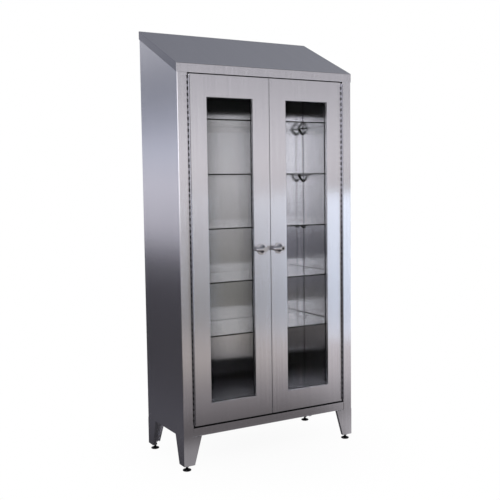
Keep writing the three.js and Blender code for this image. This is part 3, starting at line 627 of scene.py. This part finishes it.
def turned_handle(side):
    """Crank, spindle, trumpet rose and neck turned as one, with the lever and the crank's two pins."""
    low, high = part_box(f"{side}_lever_handle")
    axis = Vector((high.x - ROSE_RADIUS, low.y + LEVER_REACH, (low.z + high.z) / 2))
    outward = Matrix.Translation(axis) @ Matrix.Rotation(math.radians(90), 4, "X")
    profile = [(0.0, -CRANK_BACK), (CRANK_RADIUS, -CRANK_BACK), (CRANK_RADIUS, CRANK_SHEET - CRANK_BACK),
               (SPINDLE_RADIUS, CRANK_SHEET - CRANK_BACK), (SPINDLE_RADIUS, ROSE_LIFT),
               (ROSE_RADIUS, ROSE_LIFT), (ROSE_RADIUS, ROSE_RIM)]
    for step in range(1, FLARE_STEPS + 1):
        share = step / FLARE_STEPS
        profile.append((NECK_RADIUS + (ROSE_RADIUS - NECK_RADIUS) * (1 - share) ** 2,
                        ROSE_RIM + (LEVER_REACH / 2 - ROSE_RIM) * share ** 2))
    profile += [(NECK_RADIUS, LEVER_REACH - RIM), (NECK_RADIUS - RIM, LEVER_REACH)]
    if side == "right":
        bottom = LEVER_REACH - PLUG_DEPTH
        profile += [(PLUG_HOLE, LEVER_REACH), (PLUG_HOLE, bottom), (0.0, bottom)]
    else:
        profile.append((0.0, LEVER_REACH))
    shape = bmesh.new()
    spun(shape, profile, outward, HANDLE_STEPS)
    reach = axis.x - low.x
    lever = [(0.0, PLUG_HOLE + RIM), (LEVER_ROOT, PLUG_HOLE + RIM), (LEVER_ROOT, NECK_RADIUS)]
    for step in range(1, LEVER_STEPS + 1):
        share = step / LEVER_STEPS
        lever.append((LEVER_ROOT + (LEVER_TIP - LEVER_ROOT) * share,
                      NECK_RADIUS + (reach - LEVER_TIP - NECK_RADIUS) * share))
    for step in range(1, TIP_STEPS + 1):
        bend = math.pi / 2 * step / TIP_STEPS
        lever.append((LEVER_TIP * math.cos(bend), reach - LEVER_TIP + LEVER_TIP * math.sin(bend)))
    along = Matrix.Translation(axis - Vector((0, LEVER_REACH - LEVER_ROOT, 0)))
    spun(shape, lever, along @ Matrix.Rotation(math.radians(-90), 4, "Y"), HANDLE_STEPS)
    for way in (-1, 1):
        offset = way * CRANK_PIN_OFFSET
        pin = Matrix.Translation((offset, -offset, -CRANK_BACK - CRANK_PIN / 2))
        bmesh.ops.create_cone(shape, cap_ends=True, segments=PIN_SIDES, radius1=CRANK_PIN / 2,
                              radius2=CRANK_PIN / 2, depth=CRANK_PIN, matrix=outward @ pin)
    bmesh.ops.recalc_face_normals(shape, faces=shape.faces)
    return shape


chrome = chrome_plate("chrome_plated_zinc")
for side in SIDES:
    name = f"{side}_lever_handle"
    handle = new_piece(f"{name}_turned", turned_handle(side), chrome, f"{side}_handle")
    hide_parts(name)
finish_node("lock_plug", black_zinc, PLUG_EDGE)

# Studio
# A plain pale floor and a white surround, with grey and bright boards out of the camera's sight. They
# give the steel something to mirror, as in a photographer's studio, where white all round bleaches it.
WHITE = "FFFFFF"
SURROUND_STOPS = [(0.50, "4A4A4E"), (0.502, "B4B3B8"), (0.53, "DAD9DE"), (0.70, "C8C8CE"), (0.74, "3C3C40"),
                  (0.80, "3C3C40"), (0.84, "ACACB2")]
SURROUND_FILL = 0.55
FLOOR_HALF = 14.0
FLOOR_DROP = 0.0005
FLOOR_PAINT = "E7E7E7"
SHADOW_REACH = 0.9
SHADOW_SHARE = 0.06
MIRRORED_FLOOR = "A8A8AC"


def seen_directly(tree):
    """One for rays from the camera, also through glass."""
    path = add_node(tree, "ShaderNodeLightPath").outputs
    return add_node(tree, "ShaderNodeMath", {"operation": "MAXIMUM"}, {},
                    {0: path["Is Camera Ray"], 1: path["Is Transmission Ray"]}).outputs[0]


def mirrored(tree):
    """One for rays that metal or glass has reflected, wherever they went after that."""
    return add_node(tree, "ShaderNodeMath", {"operation": "GREATER_THAN"}, {1: 0.5},
                    {0: add_node(tree, "ShaderNodeLightPath").outputs["Glossy Depth"]}).outputs[0]


def add_stops(ramp, stops, length=1.0):
    """Colours at given distances along a ramp."""
    ramp.color_ramp.elements.remove(ramp.color_ramp.elements[1])
    ramp.color_ramp.elements[0].position = stops[0][0] / length
    ramp.color_ramp.elements[0].color = linear(stops[0][1])
    for distance, colour in stops[1:]:
        ramp.color_ramp.elements.new(distance / length).color = linear(colour)


# The surround is white to the eye, and shaded from the ground to the zenith to what mirrors it
world = bpy.data.worlds.new("studio")
bpy.context.scene.world = world
world.use_nodes = True
tree = world.node_tree
tree.nodes.clear()
rise = add_node(tree, "ShaderNodeSeparateXYZ", links={
    "Vector": add_node(tree, "ShaderNodeTexCoord").outputs["Generated"]}).outputs["Z"]
height = add_node(tree, "ShaderNodeMapRange", {}, {"From Min": -1.0, "From Max": 1.0}, {"Value": rise})
room = add_node(tree, "ShaderNodeValToRGB", links={"Fac": height.outputs["Result"]})
add_stops(room, SURROUND_STOPS)
shade = add_node(tree, "ShaderNodeMix", {"data_type": "RGBA"}, {"A": linear(WHITE)},
                 {"B": room.outputs["Color"], "Factor": mirrored(tree)})
direct = add_node(tree, "ShaderNodeMath", {"operation": "MAXIMUM"}, {},
                  {0: seen_directly(tree), 1: mirrored(tree)})
strength = add_node(tree, "ShaderNodeMapRange", {}, {"To Min": SURROUND_FILL, "To Max": 1.0},
                    {"Value": direct.outputs[0]})
backdrop = add_node(tree, "ShaderNodeBackground", {}, {},
                    {"Color": shade.outputs["Result"], "Strength": strength.outputs["Result"]})
add_node(tree, "ShaderNodeOutputWorld", links={"Surface": backdrop.outputs["Background"]})

# The floor is white to the eye but for a faint shadow near the legs, and grey to what mirrors it
floor_material, tree = new_material("studio_floor")
paint = add_node(tree, "ShaderNodeBsdfDiffuse", {}, {"Color": linear(FLOOR_PAINT)})
glow = add_node(tree, "ShaderNodeEmission", {}, {"Color": linear(WHITE), "Strength": 1.0})
distance = add_node(tree, "ShaderNodeVectorMath", {"operation": "LENGTH"}, {}, {
    "Vector": add_node(tree, "ShaderNodeTexCoord").outputs["Object"]})
white_share = add_node(tree, "ShaderNodeMapRange", {"interpolation_type": "SMOOTHSTEP"},
                       {"From Max": SHADOW_REACH, "To Min": 1 - SHADOW_SHARE, "To Max": 1.0},
                       {"Value": distance.outputs["Value"]})
share = add_node(tree, "ShaderNodeMath", {"operation": "MULTIPLY"}, {},
                 {0: seen_directly(tree), 1: white_share.outputs["Result"]})
floor_mix = add_node(tree, "ShaderNodeMixShader", {}, {}, {
    "Fac": share.outputs[0], 1: paint.outputs["BSDF"], 2: glow.outputs["Emission"]})
dim = add_node(tree, "ShaderNodeEmission", {}, {"Color": linear(MIRRORED_FLOOR), "Strength": 1.0})
floor_look = add_node(tree, "ShaderNodeMixShader", {}, {}, {
    "Fac": mirrored(tree), 1: floor_mix.outputs["Shader"], 2: dim.outputs["Emission"]})
add_node(tree, "ShaderNodeOutputMaterial", links={"Surface": floor_look.outputs["Shader"]})


def stage_piece(name, shape, material):
    """A piece of the studio, which is no part of the cabinet."""
    mesh = bpy.data.meshes.new(name)
    shape.to_mesh(mesh)
    shape.free()
    mesh.materials.append(material)
    piece = bpy.data.objects.new(name, mesh)
    bpy.context.scene.collection.objects.link(piece)
    return piece


shape = bmesh.new()
bmesh.ops.create_grid(shape, x_segments=1, y_segments=1, size=FLOOR_HALF,
                      matrix=Matrix.Translation((0, 0, -FLOOR_DROP)))
stage_piece("studio_floor", shape, floor_material)


def reflector(name, start, along, across, length, width, stops, strength=1.0):
    """A board that only reflections see, shaded along its length by colours at given distances. Looked
    at through glass alone it isn't there."""
    along = Vector(along).normalized()
    across = Vector(across).normalized()
    place = Matrix((across, along, across.cross(along))).transposed().to_4x4()
    place.translation = Vector(start)
    shape = bmesh.new()
    corners = bmesh.ops.create_grid(shape, x_segments=1, y_segments=1, size=0.5)["verts"]
    bmesh.ops.translate(shape, vec=(0.0, 0.5, 0.0), verts=corners)
    bmesh.ops.scale(shape, vec=(width, length, 1.0), verts=corners)
    mapped = shape.loops.layers.uv.new("UVMap")
    for face in shape.faces:
        for loop in face.loops:
            loop[mapped].uv = (loop.vert.co.x, loop.vert.co.y / length)
    bmesh.ops.transform(shape, matrix=place, verts=shape.verts)
    material, tree = new_material(name)
    reach = add_node(tree, "ShaderNodeSeparateXYZ", links={
        "Vector": add_node(tree, "ShaderNodeTexCoord").outputs["UV"]})
    ramp = add_node(tree, "ShaderNodeValToRGB", links={"Fac": reach.outputs["Y"]})
    add_stops(ramp, stops, length)
    glow = add_node(tree, "ShaderNodeEmission", {}, {"Strength": strength}, {"Color": ramp.outputs["Color"]})
    look = add_node(tree, "ShaderNodeMixShader", {}, {}, {
        "Fac": mirrored(tree), 1: add_node(tree, "ShaderNodeBsdfTransparent").outputs["BSDF"],
        2: glow.outputs["Emission"]})
    add_node(tree, "ShaderNodeOutputMaterial", links={"Surface": look.outputs["Shader"]})
    # Sampled as a lamp, a board would count as seen by no reflection, and the steel would lose its light
    material.cycles.emission_sampling = "NONE"
    board = stage_piece(name, shape, material)
    board.visible_camera = False
    board.visible_diffuse = False
    board.visible_shadow = False


# The floor in front and the wall behind the camera, which the doors, stiles and legs mirror
WALL_HEIGHT = 3.4
WALL_WIDTH = 12.0
FRONT_START = Vector((0.6, -0.19, 0.002))
FRONT_REACH = 5.2
reflector("front_floor_board", FRONT_START, TO_FRONT, TO_RIGHT, FRONT_REACH, WALL_WIDTH, [
    (0.0, "A09EA0"), (0.25, "989597"), (0.45, "605C5D"), (1.0, "918C8E"), (2.05, "C0B8B3"), (3.65, "8F8C89"),
    (5.2, "9A9793")])
WALL_START = FRONT_START + TO_FRONT * FRONT_REACH
reflector("front_wall_board", WALL_START, UPRIGHT, TO_RIGHT, WALL_HEIGHT, WALL_WIDTH, [
    (0.0, "9A9793"), (0.72, "C2BEBE"), (1.45, "E8E4E7"), (1.81, "E0DDE1"), (2.37, "C5C3C7"), (3.4, "A8A7AC")])

# A dark floor and a wall with a bright band, which the left side mirrors
SIDE_START = Vector((-0.46, 5.75, 0.0025))
SIDE_REACH = 2.0
reflector("side_floor_board", SIDE_START, TO_LEFT, TO_BACK, SIDE_REACH, WALL_WIDTH, [
    (0.0, "48474C"), (0.3, "5A5960"), (0.6, "4D4C53"), (1.1, "424146"), (2.0, "434248")])
reflector("side_wall_board", SIDE_START + TO_LEFT * SIDE_REACH, UPRIGHT, TO_BACK, WALL_HEIGHT, WALL_WIDTH, [
    (0.0, "434248"), (0.54, "4D4C54"), (0.66, "9695A0"), (0.76, "C6C5CF"), (1.24, "DDDCE8"), (1.62, "CDD1E1"),
    (2.27, "5C6272"), (2.45, "D0D2DC"), (3.4, "B2B2BA")])

# A grey screen hung high behind the cabinet for its roof, and a wall there for its back
ROOF_BOARD_START = (-1.279, 3.918, 4.072)
reflector("roof_board", ROOF_BOARD_START, (0.80, -0.60, 0.0), (-0.35, -0.45, 0.82), 7.0, 3.6, [
    (2.4, "84868F"), (4.6, "999BA2")])
BACK_BOARD_START = (3.5, 6.5, 0.003)
reflector("back_board", BACK_BOARD_START, UPRIGHT, TO_LEFT, WALL_HEIGHT, 10.0, [
    (0.0, "9C9CA0"), (0.9, "BCBCC2"), (2.2, "DEDEE4"), (3.4, "C2C2C8")])

# Pale floor to the right and a bright window beyond it, which light up the right stile and door
RIGHT_START = (1.489, 0.4, 0.003)
reflector("right_floor_board", RIGHT_START, (0.5, -0.866, 0.0), (0.866, 0.5, 0.0), 2.8, 2.4, [
    (0.0, "C0BDC0"), (0.63, "B4B1B4"), (1.32, "DED9DD"), (2.8, "F2EDF3")], 1.12)
WINDOW_START = (2.76, -1.57, 0.004)
reflector("window_board", WINDOW_START, UPRIGHT, (0.803, 0.596, 0.0), 1.18, 1.85, [
    (0.0, "CFD8E8"), (0.5, "DCE8FB"), (1.18, "E0EEFF")], 2.9)

# A dark mat in front on the left, which darkens the low part of the right window
MAT_START = (-0.54, -1.39, 0.004)
reflector("dark_floor_board", MAT_START, (-0.56, -0.83, 0.0), (0.83, -0.56, 0.0), 1.15, 0.52, [
    (0.0, "1E1D20"), (1.0, "1E1D20"), (1.15, "8A8689")])

# A bright screen on the left, which the right liner mirrors through the glass
KEY_START = (-2.9, -3.3, 0.003)
reflector("key_board", KEY_START, UPRIGHT, (0.69, -0.72, 0.0), 2.6, 4.4, [
    (0.0, "6C6A6E"), (0.65, "74727A"), (1.0, "E0DEE3"), (1.5, "FCFAFF"), (2.6, "E4E2E8")], 2.4)

# The cabinet's own shade on the floor between its legs
SHADE_START = (0.0, -0.19, 0.001)
reflector("shaded_floor", SHADE_START, TO_BACK, TO_LEFT, 0.41, 0.91, [(0.0, "48474B"), (0.41, "38373B")])

# Softbox
# A large lamp behind a diffusing cloth hangs above and in front of the cabinet. It lights whatever
# isn't metal, and the steel doesn't mirror it.
SOFTBOX_SIZE = (3.0, 2.0)
SOFTBOX_WATTS = 90.0
SOFTBOX_PLACE = Vector((-1.5, -3.5, 4.2))
SOFTBOX_AIM = Vector((0, 0, 1))
softbox = bpy.data.objects.new("softbox", bpy.data.lights.new("softbox", "AREA"))
bpy.context.scene.collection.objects.link(softbox)
softbox.data.shape = "RECTANGLE"
softbox.data.size = SOFTBOX_SIZE[0]
softbox.data.size_y = SOFTBOX_SIZE[1]
softbox.data.energy = SOFTBOX_WATTS
softbox.location = SOFTBOX_PLACE
softbox.rotation_euler = (SOFTBOX_AIM - SOFTBOX_PLACE).to_track_quat("-Z", "Y").to_euler()
softbox.visible_glossy = False
